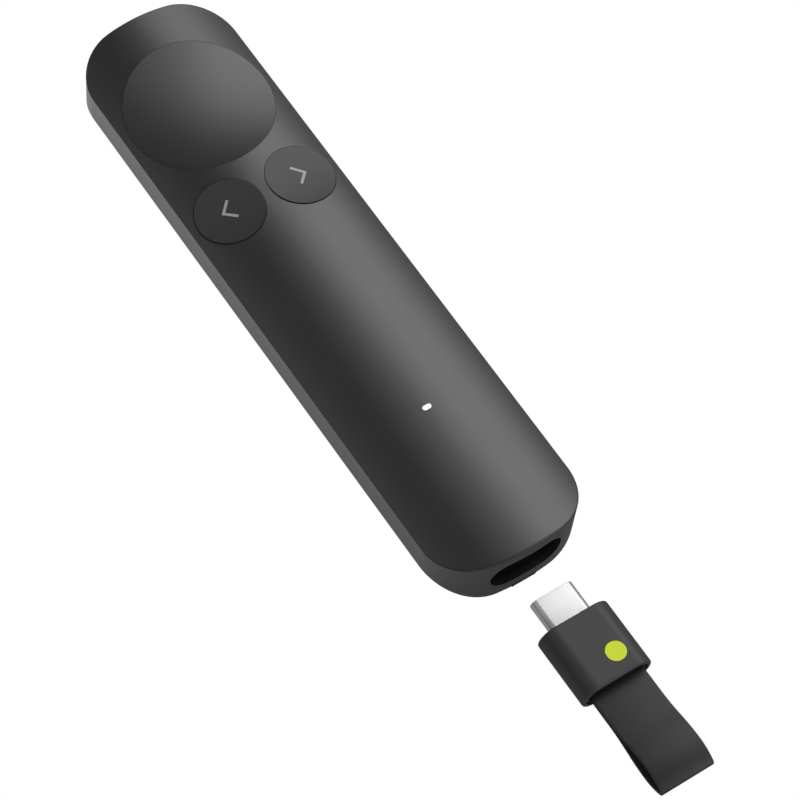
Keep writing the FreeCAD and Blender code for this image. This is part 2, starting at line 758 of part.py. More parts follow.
def port_shell():
    """Metal shell of the charging port, open at the mouth and at the back."""
    outer = stadium("port_outer", "port_width + 2 * port_wall", "port_height + 2 * port_wall",
                    "port_depth + port_block", y="port_mouth", z="bay_middle")
    inner = stadium("port_inner", "port_width", "port_height", "port_depth + port_block + overrun",
                    y="port_mouth", z="bay_middle")
    return minus("port_piece", outer, inner)


def port_tongue():
    """Moulded block at the back of the port with the flat tongue in front."""
    rear = stadium("tongue_block", "port_width", "port_height", "port_block",
                   y="port_mouth + port_depth", z="bay_middle")
    blade = block("tongue_blade", "-tongue_width / 2", "port_mouth + port_depth - tongue_length",
                  "bay_middle - tongue_thick / 2", "tongue_width", "tongue_length + port_block / 2",
                  "tongue_thick")
    return join("tongue_piece", rear, blade)


def pin_row(name, count, y, z, length, thick):
    """Row of flat contact pins, centred across the part."""
    pins = []
    for index in range(count):
        x = f"{index - (count - 1) / 2} * pin_pitch - pin_width / 2"
        pins.append(block(f"{name}_{index}", x, y, z, "pin_width", length, thick))
    return pins


def main_board():
    """Long board on the plan of the handset, notched round the port and pierced for the screw bosses."""
    outline = plan_prism("board_outline", "board_inset", "board_base", "board_top")
    span = block("board_span", "-body_width / 2", "board_tail_y", "board_base",
                 "body_width", "body_length / 2 - board_tail_y", "board_thick")
    notch = block("board_notch", "-port_width / 2 - port_wall - plunger_gap", "board_tail_y - overrun",
                  "board_base - overrun", "port_width + 2 * port_wall + 2 * plunger_gap",
                  "port_mouth + port_depth + port_block + plunger_gap - board_tail_y + overrun",
                  "board_thick + 2 * overrun")
    holes = [
        screw_column("board_hole_" + place_name, y, "boss_radius + hole_gap", "board_base - overrun",
                     "board_top + overrun")
        for place_name, y in SCREWS.items()
    ]
    return minus("board_piece", shared("board_blank", outline, span), notch, *holes)


def chip(name, x, y, length, width, thick, base="board_top"):
    """Flat part on a board, placed by its middle."""
    return block(name, f"{x} - ({length}) / 2", f"{y} - ({width}) / 2", base, length, width, thick)


def battery_strips():
    """Two metal strips from the end of the battery up to the board."""
    strips = []
    for side in (-1, 1):
        x = f"({side}) * strip_spread - strip_width / 2"
        strips.append(block("strip", x, "cell_tail_y + cell_length", "cell_base + cell_thick / 2",
                            "strip_width", "strip_thick",
                            "board_base - cell_base - cell_thick / 2"))
    return group("strip_set", *strips)


def light_pipe():
    """Clear pill flush with the crown, with a wider collar under the cover."""
    under_cover = "(total_height - cover_thick)"
    pill = light_pill("pipe_pill", "light_length", "light_width", "lamp_top",
                      "total_height + overrun")
    collar = light_pill("pipe_collar", "light_length + 2 * light_collar", "light_width + 2 * light_collar",
                        "lamp_top", under_cover)
    cover_inside = arched_slab("pipe_roof", "total_height - cover_thick", "crown_radius - cover_thick", 1)
    trimmed = minus("pipe_base", collar, cover_inside)
    return minus("pipe_piece", join("pipe_whole", pill, trimmed), crown_space)


def receiver_housing():
    """Round-ended sleeve of the receiver: closed at the plug end, open where the strap comes out."""
    body = doc.addObject("PartDesign::Body", "stick_outer")
    pad = raise_pad(body, stadium_sketch(body, "XZ_Plane", "housing_width", "housing_height"),
                    "housing_length", reverse=True)
    doc.recompute()
    rims = []
    for index, edge in enumerate(pad.Shape.Edges, start=1):
        box = edge.BoundBox
        if box.YLength < 0.01:
            rims.append(f"Edge{index}")
    fillet = body.newObject("PartDesign::Fillet", "stick_rims")
    fillet.Base = (pad, rims)
    bind(fillet, "Radius", "housing_round")
    body.Tip = fillet
    place(body, y="housing_back", z="bay_middle")
    inner = stadium("stick_inner", "housing_width - 2 * housing_wall", "housing_height - 2 * housing_wall",
                    "housing_length - housing_front + overrun", y="housing_back - overrun", z="bay_middle")
    mouth = stadium("stick_mouth", "plug_width + 2 * plug_fit", "plug_height + 2 * plug_fit",
                    "housing_length + 2 * overrun",
                    y="housing_back - overrun", z="bay_middle")
    return minus("stick_shell", body, inner, mouth)


def accent_dot():
    return rod("dot_piece", "dot_x", "housing_back + dot_back",
               "bay_middle + housing_height / 2 - dot_thick", "dot_radius", "dot_thick")


def receiver_insert():
    """Moulding in the back of the receiver: a flat pocket for the strap's root, crossed by its pin."""
    outer = stadium("insert_outer", "housing_width - 2 * housing_wall - 2 * insert_fit",
                    "housing_height - 2 * housing_wall - 2 * insert_fit", "insert_length", y="insert_back",
                    z="bay_middle")
    pocket = stadium("insert_pocket", "pocket_width", "pocket_height", "pocket_depth + overrun",
                     y="insert_back - overrun", z="bay_middle")
    hole = rod("insert_hole", "-housing_width", "insert_back + anchor_inset", "bay_middle",
               "anchor_radius + anchor_fit", "2 * housing_width", "X")
    return minus("insert_piece", outer, pocket, hole)


def strap_pin():
    length = "(housing_width - 2 * housing_wall - 4 * insert_fit)"
    return rod("pin_piece", f"-{length} / 2", "insert_back + anchor_inset", "bay_middle",
               "anchor_radius", length, "X")


def plug_shell():
    length = "plug_reach + plug_root"
    outer = stadium("plug_outer", "plug_width", "plug_height", length, y="plug_back", z="bay_middle")
    inner = stadium("plug_inner", "plug_width - 2 * plug_wall", "plug_height - 2 * plug_wall",
                    f"{length} + 2 * overrun",
                    y="plug_back - overrun", z="bay_middle")
    return minus("plug_piece", outer, inner)


def plug_core():
    """Insulator of the plug with the pocket that takes a port's tongue."""
    outer = stadium("core_outer", "plug_width - 2 * plug_wall", "plug_height - 2 * plug_wall",
                    "plug_reach + plug_root - plug_lip", y="plug_back", z="bay_middle")
    pocket = block("core_pocket", "-plug_pocket_width / 2", "plug_tip - plug_lip - plug_pocket_depth",
                   "bay_middle - plug_pocket_height / 2", "plug_pocket_width", "plug_pocket_depth + overrun",
                   "plug_pocket_height")
    return minus("core_piece", outer, pocket)


def plug_pins():
    """Contact pins on the roof and the floor of the plug's pocket."""
    y = "plug_tip - plug_lip - plug_pocket_depth"
    roof = "bay_middle + plug_pocket_height / 2 - plug_pin_thick"
    floor = "bay_middle - plug_pocket_height / 2"
    count = int(DIMENSIONS["tail_pins"])
    upper = pin_row("roof_pin", count, y, roof, "plug_pin_length", "plug_pin_thick")
    lower = pin_row("floor_pin", count, y, floor, "plug_pin_length", "plug_pin_thick")
    return group("plug_pin_set", *upper, *lower)


def strap_side(offset):
    """Points of the upper side of the strap's loop, moved in by an offset.

    From the root the strap runs straight, swells in an S of two equal arcs to its highest place,
    and falls in one arc to the round nose. Each arc is given by its end and a point in its middle.
    """
    back = measure("housing_back")
    flat = measure("strap_thick + strap_slit")
    rise = measure("strap_rise")
    nose = measure("strap_nose")
    start_y = back - measure("strap_straight")
    peak_y = back - measure("strap_peak")
    nose_y = back - measure("strap_reach") + nose
    run = start_y - peak_y
    bend = (run ** 2 + (rise - flat) ** 2) / (4 * (rise - flat))
    lean = math.asin(run / 2 / bend)
    fall = peak_y - nose_y
    drop = (fall ** 2 + rise ** 2 - nose ** 2) / (2 * (rise - nose))
    turn = math.asin(fall / (drop - nose))

    def on_arc(centre_y, centre_z, radius, angle, upward):
        sign = 1 if upward else -1
        return centre_y - radius * math.sin(angle), centre_z + sign * radius * math.cos(angle)

    out_radius = bend + offset
    in_radius = bend - offset
    return {
        "start": (start_y, flat - offset),
        "swell": on_arc(start_y, flat + bend, out_radius, lean / 2, False),
        "cross": on_arc(start_y, flat + bend, out_radius, lean, False),
        "top": on_arc(peak_y, rise - bend, in_radius, -lean / 2, True),
        "peak": (peak_y, rise - offset),
        "fall": on_arc(peak_y, rise - drop, drop - offset, turn / 2, True),
        "join": on_arc(peak_y, rise - drop, drop - offset, turn, True),
        "nose": (nose_y - nose + offset, 0.0),
    }


def strap_contour(offset, root_y):
    """Closed outline of the loop in side view, its two sides alike."""
    side = strap_side(offset)
    centre = measure("bay_middle")
    width = measure("strap_width")

    def point(name, sign):
        y, z = side[name]
        return FreeCAD.Vector(-width / 2, y, centre + sign * z)

    def arc(first, middle, last, sign):
        return Part.Arc(point(first, sign), point(middle, sign), point(last, sign)).toShape()

    half = side["start"][1]
    roots = [FreeCAD.Vector(-width / 2, root_y, centre + sign * half) for sign in (1, -1)]
    edges = []
    if abs(root_y - side["start"][0]) > 0.01:
        edges.append(Part.makeLine(roots[0], point("start", 1)))
        edges.append(Part.makeLine(roots[1], point("start", -1)))
    edges.append(Part.makeLine(roots[0], roots[1]))
    for sign in (1, -1):
        edges.append(arc("start", "swell", "cross", sign))
        edges.append(arc("cross", "top", "peak", sign))
        edges.append(arc("peak", "fall", "join", sign))
    edges.append(Part.Arc(point("join", 1), point("nose", 1), point("join", -1)).toShape())
    return Part.Wire(Part.__sortEdges__(edges))


def strap_loop():
    """Flat strap folded back on itself, swelling to a leaf-shaped loop, its root round the pin."""
    width = measure("strap_width")
    root_y = measure("housing_back + strap_root")
    pin_y = measure("insert_back + anchor_inset")
    outer = Part.Face(strap_contour(0.0, root_y)).extrude(FreeCAD.Vector(width, 0, 0))
    start_y = measure("housing_back - strap_straight")
    inner = Part.Face(strap_contour(measure("strap_thick"), start_y)).extrude(FreeCAD.Vector(width, 0, 0))
    hole = Part.makeCylinder(measure("anchor_radius + anchor_fit"), 2 * width,
                             FreeCAD.Vector(-width, pin_y, measure("bay_middle")), FreeCAD.Vector(1, 0, 0))
    piece = doc.addObject("Part::Feature", "strap_piece")
    piece.Shape = outer.cut(inner).cut(hole)
    return piece


def build_handset():
    pad = rest_pad()
    keep(pad, "rest_pad")
    keep(lower_housing(pad), "lower_housing")
    keep(top_cover(), "top_cover")
    keep(case_screws(), "case_screws")
    keep(bay_sleeve(), "bay_sleeve")
    keep(port_shell(), "port_shell")
    keep(port_tongue(), "port_tongue")
    tails = pin_row("tail_pin", int(DIMENSIONS["tail_pins"]), "port_mouth + port_depth + port_block",
                    "board_top", "pin_length", "pin_thick")
    keep(group("tail_pin_set", *tails), "port_pins")
    keep(main_board(), "main_board")
    keep(chip("radio", "0", "radio_y", "radio_width", "radio_width", "chip_thick"), "radio_chip")
    keep(chip("crystal", "crystal_x", "radio_y", "crystal_length", "crystal_width", "chip_thick"),
         "radio_crystal")
    keep(chip("sensor", "0", "sensor_y", "sensor_width", "sensor_width", "chip_thick"), "motion_sensor")
    keep(chip("charger", "0", "charger_y", "charger_width", "charger_width", "chip_thick"), "charger_chip")
    keep(chip("aerial", "aerial_x", "aerial_y", "aerial_length", "aerial_width", "chip_thick"), "aerial")
    cell_x = "-cell_width / 2"
    keep(block("cell_pad", cell_x, "cell_tail_y", "floor_top", "cell_width", "cell_length",
               "cell_pad_thick"), "battery_pad")
    keep(block("cell", cell_x, "cell_tail_y", "cell_base", "cell_width", "cell_length", "cell_thick"),
         "battery_cell")
    keep(battery_strips(), "battery_strips")
    keep(chip("lamp", "0", "light_y", "lamp_length", "lamp_width", "lamp_thick"), "status_lamp")
    keep(light_pipe(), "light_pipe")


def build_buttons():
    keep(pointer_cap(), "pointer_cap")
    switch("pointer", "0", "pointer_y")
    for word, side in (("next", 1), ("back", -1)):
        cap, icon = step_button(word, side)
        keep(cap, word + "_cap")
        keep(icon, word + "_icon")
        switch(word, f"({side}) * step_x", "step_y")


def build_receiver():
    dot = accent_dot()
    keep(minus("stick_piece", receiver_housing(), dot), "receiver_housing")
    keep(dot, "accent_dot")
    keep(receiver_insert(), "receiver_insert")
    keep(strap_pin(), "strap_pin")
    keep(strap_loop(), "strap_loop")
    keep(plug_shell(), "plug_shell")
    keep(plug_core(), "plug_core")
    keep(plug_pins(), "plug_pins")
    board = block("stick_board", "-stick_board_width / 2", "plug_back - stick_board_length",
                  "bay_middle - stick_board_thick / 2", "stick_board_width", "stick_board_length",
                  "stick_board_thick")
    keep(board, "receiver_board")
    top = "bay_middle + stick_board_thick / 2"
    middle = "plug_back - stick_board_length / 2"
    keep(chip("stick_radio", "0", middle, "stick_chip", "stick_chip", "stick_chip_thick", top),
         "receiver_chip")
    keep(chip("stick_clock", "stick_crystal_x", middle, "stick_crystal_width", "stick_crystal",
              "stick_chip_thick", top), "receiver_crystal")
    keep(chip("stick_mast", "0", "plug_back - stick_board_length + stick_aerial_width", "stick_aerial",
              "stick_aerial_width", "stick_chip_thick", top), "receiver_aerial")


def write_parts():
    """Check every object, then write one file per finished piece."""
    doc.recompute()
    for item in doc.Objects:
        if "Invalid" in item.State or "Error" in item.State:
            raise RuntimeError(f"{item.Name} did not build: {item.State}")
    os.makedirs("parts", exist_ok=True)
    for piece in finished:
        if piece.Shape.isNull() or not piece.Shape.isValid():
            raise RuntimeError(f"{piece.Label} has no valid shape")
        piece.Shape.exportStep(f"parts/{piece.Label}.step")
        print(piece.Label, len(piece.Shape.Solids), round(piece.Shape.Volume, 1))


build_handset()
build_buttons()
build_receiver()
write_parts()
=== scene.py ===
import math

import bpy
from mathutils import Matrix, Vector


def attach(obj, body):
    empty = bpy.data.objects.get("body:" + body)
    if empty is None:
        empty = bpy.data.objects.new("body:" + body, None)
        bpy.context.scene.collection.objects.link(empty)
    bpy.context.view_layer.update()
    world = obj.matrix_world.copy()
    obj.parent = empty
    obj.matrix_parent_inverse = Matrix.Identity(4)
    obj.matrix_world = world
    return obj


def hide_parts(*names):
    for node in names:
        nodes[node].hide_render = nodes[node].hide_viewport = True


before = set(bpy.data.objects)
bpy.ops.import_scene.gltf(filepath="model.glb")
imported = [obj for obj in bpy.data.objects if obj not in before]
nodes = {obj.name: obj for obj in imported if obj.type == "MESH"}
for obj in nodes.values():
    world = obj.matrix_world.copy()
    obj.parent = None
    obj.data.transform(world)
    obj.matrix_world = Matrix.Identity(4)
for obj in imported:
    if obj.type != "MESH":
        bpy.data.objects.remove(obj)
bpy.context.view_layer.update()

MM = 0.001


# Camera, at the photograph's viewing angle

CAMERA_PLACE = Vector((-180.83, -233.76, 491.87)) * MM
CAMERA_RIGHT = Vector((0.8301, -0.55324, 0.06974))
CAMERA_UP = Vector((0.45504, 0.74437, 0.48873))
CAMERA_LENS = 148.83
SENSOR_WIDTH = 36.0
NEAREST = 0.01
FARTHEST = 20.0


def add_camera():
    data = bpy.data.cameras.new("photo_camera")
    data.lens = CAMERA_LENS
    data.sensor_width = SENSOR_WIDTH
    data.clip_start = NEAREST
    data.clip_end = FARTHEST
    camera = bpy.data.objects.new("photo_camera", data)
    back = CAMERA_RIGHT.cross(CAMERA_UP).normalized()
    up = back.cross(CAMERA_RIGHT).normalized()
    turn = Matrix((CAMERA_RIGHT.normalized(), up, back)).transposed()
    camera.matrix_world = Matrix.Translation(CAMERA_PLACE) @ turn.to_4x4()
    bpy.context.scene.collection.objects.link(camera)
    bpy.context.scene.camera = camera


add_camera()


# Shader building blocks. Each range is the lowest and highest value that a pattern gives.

GRAIN_SCALE = 5000.0
GRAIN_TONE = (0.44, 0.52)
GRAIN_GLOSS = (-0.03, 0.03)
CLOUD_SCALE = 90.0
CLOUD_TONE = (0.47, 0.57)
CLOUD_GLOSS = (-0.02, 0.02)

SCRATCH_SCALE = (9000.0, 500.0, 9000.0)
SCRATCH_TONE = (0.45, 0.53)
SCRATCH_GLOSS = (-0.05, 0.05)
STAIN_SCALE = 350.0
STAIN_TONE = (0.48, 0.53)

THREADS_PER_MM = 4.0
FUZZ_SCALE = 7000.0
FUZZ_GLOSS = (-0.05, 0.05)
THREAD_HEIGHT = (0.0, 0.6)
FUZZ_HEIGHT = (0.0, 0.4)
# Weave colour by height: painted shade where the weave lies low, painted highlight on the thread tops.
WEAVE_SHADE_BY_HEIGHT = (0.86, 1.12)


def link(tree, source, target):
    tree.links.new(source, target)


def new_group(name, numbers, outputs):
    """Shader group. An input whose default is a tuple is a colour, and any other is a number."""
    group = bpy.data.node_groups.new(name, "ShaderNodeTree")
    for label, value in numbers:
        kind = "NodeSocketColor" if isinstance(value, tuple) else "NodeSocketFloat"
        socket = group.interface.new_socket(label, in_out="INPUT", socket_type=kind)
        socket.default_value = value
    for label, kind in outputs:
        group.interface.new_socket(label, in_out="OUTPUT", socket_type=kind)
    return group, group.nodes.new("NodeGroupInput"), group.nodes.new("NodeGroupOutput")


def noise(tree, coordinates, scale, detail):
    node = tree.nodes.new("ShaderNodeTexNoise")
    node.inputs["Detail"].default_value = detail
    link(tree, coordinates, node.inputs["Vector"])
    if isinstance(scale, (int, float)):
        node.inputs["Scale"].default_value = scale
    else:
        link(tree, scale, node.inputs["Scale"])
    return node.outputs["Fac"]


def spread(tree, value, low, high):
    """Map a 0 to 1 value onto a range; the ends may be numbers or sockets."""
    node = tree.nodes.new("ShaderNodeMapRange")
    link(tree, value, node.inputs["Value"])
    for socket, end in (("To Min", low), ("To Max", high)):
        if isinstance(end, (int, float)):
            node.inputs[socket].default_value = end
        else:
            link(tree, end, node.inputs[socket])
    return node.outputs["Result"]


def shaded(tree, colour, factor):
    """Colour scaled by a grey factor."""
    node = tree.nodes.new("ShaderNodeVectorMath")
    node.operation = "SCALE"
    link(tree, colour, node.inputs[0])
    link(tree, factor, node.inputs["Scale"])
    return node.outputs["Vector"]


def maths(tree, operation, first, second):
    node = tree.nodes.new("ShaderNodeMath")
    node.operation = operation
    for socket, value in zip(node.inputs, (first, second)):
        if isinstance(value, (int, float)):
            socket.default_value = value
        else:
            link(tree, value, socket)
    return node.outputs["Value"]


def moulded_group():
    """Fine eroded grain of a moulded surface, with slow drifts in tone and gloss."""
    group, given, made = new_group(
        "moulded_grain",
        [("Colour", (0.03, 0.03, 0.03, 1.0)), ("Roughness", 0.45), ("Grain Scale", GRAIN_SCALE)],
        [("Colour", "NodeSocketColor"), ("Roughness", "NodeSocketFloat"), ("Height", "NodeSocketFloat")],
    )
    place = group.nodes.new("ShaderNodeTexCoord").outputs["Object"]
    grain = noise(group, place, given.outputs["Grain Scale"], 3.0)
    cloud = noise(group, place, CLOUD_SCALE, 2.0)
    tone = maths(group, "ADD", spread(group, grain, *GRAIN_TONE), spread(group, cloud, *CLOUD_TONE))
    link(group, shaded(group, given.outputs["Colour"], tone), made.inputs["Colour"])
    drift = spread(group, cloud, *CLOUD_GLOSS)
    speck = spread(group, grain, *GRAIN_GLOSS)
    gloss = maths(group, "ADD", maths(group, "ADD", drift, speck), given.outputs["Roughness"])
    link(group, gloss, made.inputs["Roughness"])
    link(group, grain, made.inputs["Height"])
    return group


def brushed_group():
    """Short fine scratches along the part, on rolled or plated metal."""
    group, given, made = new_group(
        "brushed_metal",
        [("Colour", (0.7, 0.7, 0.7, 1.0)), ("Roughness", 0.3)],
        [("Colour", "NodeSocketColor"), ("Roughness", "NodeSocketFloat"), ("Height", "NodeSocketFloat")],
    )
    place = group.nodes.new("ShaderNodeTexCoord").outputs["Object"]
    stretch = group.nodes.new("ShaderNodeMapping")
    stretch.inputs["Scale"].default_value = SCRATCH_SCALE
    link(group, place, stretch.inputs["Vector"])
    lines = noise(group, stretch.outputs["Vector"], 1.0, 2.0)
    stain = noise(group, place, STAIN_SCALE, 3.0)
    tone = maths(group, "ADD", spread(group, lines, *SCRATCH_TONE), spread(group, stain, *STAIN_TONE))
    link(group, shaded(group, given.outputs["Colour"], tone), made.inputs["Colour"])
    rough = maths(group, "ADD", spread(group, lines, *SCRATCH_GLOSS), given.outputs["Roughness"])
    link(group, rough, made.inputs["Roughness"])
    link(group, lines, made.inputs["Height"])
    return group


def woven_group():
    """Tight plain weave, laid out by the strap's own UV in millimetres, with threads per millimetre; its
    colour carries painted shade where it lies low.
    """
    group, given, made = new_group(
        "tight_weave",
        [("Colour", (0.02, 0.02, 0.02, 1.0)), ("Roughness", 0.7), ("Threads", THREADS_PER_MM)],
        [("Colour", "NodeSocketColor"), ("Roughness", "NodeSocketFloat"), ("Height", "NodeSocketFloat")],
    )
    place = group.nodes.new("ShaderNodeUVMap")
    place.uv_map = "UVMap"
    parts = group.nodes.new("ShaderNodeSeparateXYZ")
    link(group, place.outputs["UV"], parts.inputs["Vector"])
    turns = maths(group, "MULTIPLY", given.outputs["Threads"], math.pi)
    across = maths(group, "SINE", maths(group, "MULTIPLY", parts.outputs["X"], turns), 0.0)
    along = maths(group, "SINE", maths(group, "MULTIPLY", parts.outputs["Y"], turns), 0.0)
    cross = maths(group, "MULTIPLY", across, along)
    fuzz = noise(group, group.nodes.new("ShaderNodeTexCoord").outputs["Object"], FUZZ_SCALE, 3.0)
    relief = maths(group, "ADD", spread(group, cross, *THREAD_HEIGHT), spread(group, fuzz, *FUZZ_HEIGHT))
    link(group, relief, made.inputs["Height"])
    # Colour follows the relief: painted shade in the low parts of the weave and fuzz, painted highlight
    # on the high parts.
    tone = spread(group, relief, *WEAVE_SHADE_BY_HEIGHT)
    link(group, shaded(group, given.outputs["Colour"], tone), made.inputs["Colour"])
    rough = maths(group, "ADD", spread(group, fuzz, *FUZZ_GLOSS), given.outputs["Roughness"])
    link(group, rough, made.inputs["Roughness"])
    return group


MOULDED = moulded_group()
BRUSHED = brushed_group()
WOVEN = woven_group()


def material(name, group, colour, roughness, relief, metallic=0.0):
    """Material from one of the shader groups; relief is the height of its bumps in metres."""
    made = bpy.data.materials.new(name)
    made.use_nodes = True
    tree = made.node_tree
    shader = tree.nodes["Principled BSDF"]
    effect = tree.nodes.new("ShaderNodeGroup")
    effect.node_tree = group
    effect.inputs["Colour"].default_value = (*colour, 1.0)
    effect.inputs["Roughness"].default_value = roughness
    bump = tree.nodes.new("ShaderNodeBump")
    bump.inputs["Distance"].default_value = relief
    link(tree, effect.outputs["Height"], bump.inputs["Height"])
    link(tree, bump.outputs["Normal"], shader.inputs["Normal"])
    link(tree, effect.outputs["Colour"], shader.inputs["Base Color"])
    link(tree, effect.outputs["Roughness"], shader.inputs["Roughness"])
    shader.inputs["Metallic"].default_value = metallic
    return made


def dress(name, made):
    """Give one carried-over part its material."""
    mesh = nodes[name].data
    mesh.materials.clear()
    mesh.materials.append(made)


SHELL_TONE = (0.030, 0.030, 0.031)
FINE = 0.004 * MM
SCRATCHED = 0.001 * MM
WRINKLED = 0.002 * MM
WOVEN_RELIEF = 0.006 * MM
SPONGY = 0.02 * MM
GLOW = 0.8
GLOW_COLOUR = (1.0, 1.0, 1.0)

shell = material("satin_shell", MOULDED, SHELL_TONE, 0.33, FINE)
receiver_skin = material("matt_receiver", MOULDED, (0.040, 0.040, 0.042), 0.55, FINE)
button_skin = material("satin_button", MOULDED, SHELL_TONE, 0.33, FINE)
step_skin = material("satin_step", MOULDED, SHELL_TONE, 0.48, FINE)
icon_grey = material("icon_inlay", MOULDED, (0.40, 0.40, 0.40), 0.5, FINE)
lime = material("lime_inlay", MOULDED, (0.80, 0.96, 0.012), 0.55, FINE)
inner_black = material("inner_black", MOULDED, (0.004, 0.004, 0.004), 0.6, FINE)
pad_black = material("pad_rubber", MOULDED, (0.012, 0.012, 0.012), 0.8, FINE)
strap_cloth = material("strap_cloth", WOVEN, (0.020, 0.020, 0.021), 0.58, WOVEN_RELIEF)
plug_metal = material("plug_metal", BRUSHED, (0.64, 0.64, 0.65), 0.5, SCRATCHED, metallic=1.0)
screw_metal = material("screw_metal", BRUSHED, (0.45, 0.45, 0.46), 0.4, SCRATCHED, metallic=1.0)
can_metal = material("can_metal", BRUSHED, (0.6, 0.6, 0.6), 0.35, SCRATCHED, metallic=1.0)
foil = material("battery_foil", BRUSHED, (0.66, 0.67, 0.68), 0.4, WRINKLED, metallic=1.0)
gold = material("contact_gold", BRUSHED, (0.83, 0.62, 0.27), 0.25, SCRATCHED, metallic=1.0)
board_green = material("solder_mask", MOULDED, (0.02, 0.13, 0.06), 0.35, FINE)
chip_black = material("chip_package", MOULDED, (0.03, 0.03, 0.03), 0.5, FINE)
foam = material("foam_tape", MOULDED, (0.2, 0.2, 0.2), 0.9, SPONGY)
lamp_white = material("lamp_package", MOULDED, (0.9, 0.9, 0.85), 0.4, FINE)


def lit_lens():
    """White lens that glows evenly."""
    made = material("lit_lens", MOULDED, (0.9, 0.9, 0.9), 0.3, FINE)
    shader = made.node_tree.nodes["Principled BSDF"]
    shader.inputs["Emission Color"].default_value = (*GLOW_COLOUR, 1.0)
    shader.inputs["Emission Strength"].default_value = GLOW
    return made


FINISHES = {
    shell: ["lower_housing", "top_cover"],
    button_skin: ["pointer_cap"],
    step_skin: ["next_cap", "back_cap"],
    icon_grey: ["next_icon", "back_icon"],
    lit_lens(): ["light_pipe"],
    lime: ["accent_dot"],
    receiver_skin: ["receiver_housing"],
    inner_black: ["bay_sleeve", "port_tongue", "receiver_insert", "plug_core"],
    pad_black: ["rest_pad"],
    strap_cloth: ["strap_loop"],
    plug_metal: ["plug_shell", "port_shell"],
    screw_metal: ["case_screws", "strap_pin"],
    can_metal: [
        "radio_crystal", "aerial", "battery_strips", "receiver_crystal", "receiver_aerial",
        "pointer_plunger", "next_plunger", "back_plunger",
    ],
    foil: ["battery_cell"],
    gold: ["port_pins", "plug_pins"],
    board_green: ["main_board", "receiver_board"],
    chip_black: [
        "radio_chip", "motion_sensor", "charger_chip", "receiver_chip",
        "pointer_switch", "next_switch", "back_switch",
    ],
    foam: ["battery_pad"],
    lamp_white: ["status_lamp"],
}

for made, names in FINISHES.items():
    for name in names:
        dress(name, made)


# Modelled pieces. The middle is the height of the bay, and of all that slides in it.

BAY_MIDDLE = 6.22 * MM

STRAP_WIDTH = 10.4 * MM
STRAP_THICK = 0.65 * MM
STRAP_ROOT = -85.25 * MM
STRAP_START = -92.25 * MM
STRAP_PEAK = -102.45 * MM
STRAP_TIP = -106.85 * MM
STRAP_FLAT = 0.75 * MM
STRAP_RISE = 2.0 * MM
STRAP_NOSE = 0.95 * MM
STRAP_EDGE = 0.14 * MM
BEND_STEPS = 8
FALL_STEPS = 6

PLUG_WIDTH = 8.25 * MM
PLUG_HEIGHT = 2.4 * MM
PLUG_WALL = 0.25 * MM
PLUG_BACK = -76.2 * MM
PLUG_TIP = -68.25 * MM
PLUG_LIP = 0.08 * MM

PAD_WIDTH = 9.0 * MM
PAD_LENGTH = 119.6 * MM
PAD_THICK = 0.9 * MM
PAD_TAB = 2.45 * MM
PAD_TAIL = -61.69 * MM
PAD_DRAW = 1.0 * MM
PAD_EDGE = 0.18 * MM

QUARTER_STEPS = 11
SOFT_STEPS = 3
SHARP = 60.0
STRAP_SMOOTH = 50.0
SHELL_SMOOTH = 40.0
HAIR = 0.001 * MM
MERGE = 0.004 * MM
PLANE_CORNERS = 4


def start_mesh(add, size, middle):
    """Fresh primitive, brought to its size and place in edit mode and then left in object mode."""
    bpy.ops.object.select_all(action="DESELECT")
    add(size=1.0, location=(0.0, 0.0, 0.0))
    bpy.ops.object.mode_set(mode="EDIT")
    bpy.ops.mesh.select_all(action="SELECT")
    bpy.ops.transform.resize(value=size, center_override=(0.0, 0.0, 0.0))
    bpy.ops.transform.translate(value=middle)
    bpy.ops.mesh.select_mode(type="VERT")
    bpy.ops.object.mode_set(mode="OBJECT")
    return bpy.context.object


def pick(piece, kind, chosen):
    """Select the vertices, edges or faces of a piece whose test holds, and enter edit mode."""
    bpy.ops.object.mode_set(mode="EDIT")
    bpy.ops.mesh.select_mode(type={"vertices": "VERT", "edges": "EDGE", "polygons": "FACE"}[kind])
    bpy.ops.mesh.select_all(action="DESELECT")
    bpy.ops.object.mode_set(mode="OBJECT")
    for part in getattr(piece.data, kind):
        part.select = chosen(part)
    bpy.ops.object.mode_set(mode="EDIT")


def end_mesh(piece, name, smooth):
    """Merge doubles, turn the faces outward, apply the modifiers and shade the rounds smooth."""
    bpy.ops.object.mode_set(mode="EDIT")
    bpy.ops.mesh.select_all(action="SELECT")
    bpy.ops.mesh.remove_doubles(threshold=MERGE)
    bpy.ops.mesh.normals_make_consistent(inside=False)
    bpy.ops.object.mode_set(mode="OBJECT")
    for modifier in list(piece.modifiers):
        bpy.ops.object.modifier_apply(modifier=modifier.name)
    bpy.ops.object.shade_smooth_by_angle(angle=math.radians(smooth))
    piece.name = name


def soften(piece, width):
    """Round the sharp edges."""
    modifier = piece.modifiers.new("soft_edges", "BEVEL")
    modifier.width = width
    modifier.segments = SOFT_STEPS
    modifier.limit_method = "ANGLE"
    modifier.angle_limit = math.radians(SHARP)


def along(piece, axis):
    """Test for edges that run along one axis."""
    def test(edge):
        first, second = (piece.data.vertices[index].co for index in edge.vertices)
        step = second - first
        return abs(step[axis]) > 0.999 * step.length
    return test


def hand_over(piece, made, node, body):
    """Give a modelled piece its material, and let it stand in for the CAD one on its body."""
    piece.data.materials.clear()
    piece.data.materials.append(made)
    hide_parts(node)
    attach(piece, body)


def arc(middle_y, middle_z, radius, first, last, steps):
    """Points on an arc; the angles run from +Z towards -Y."""
    for step in range(1, steps + 1):
        angle = first + (last - first) * step / steps
        yield middle_y - radius * math.sin(angle), middle_z + radius * math.cos(angle)


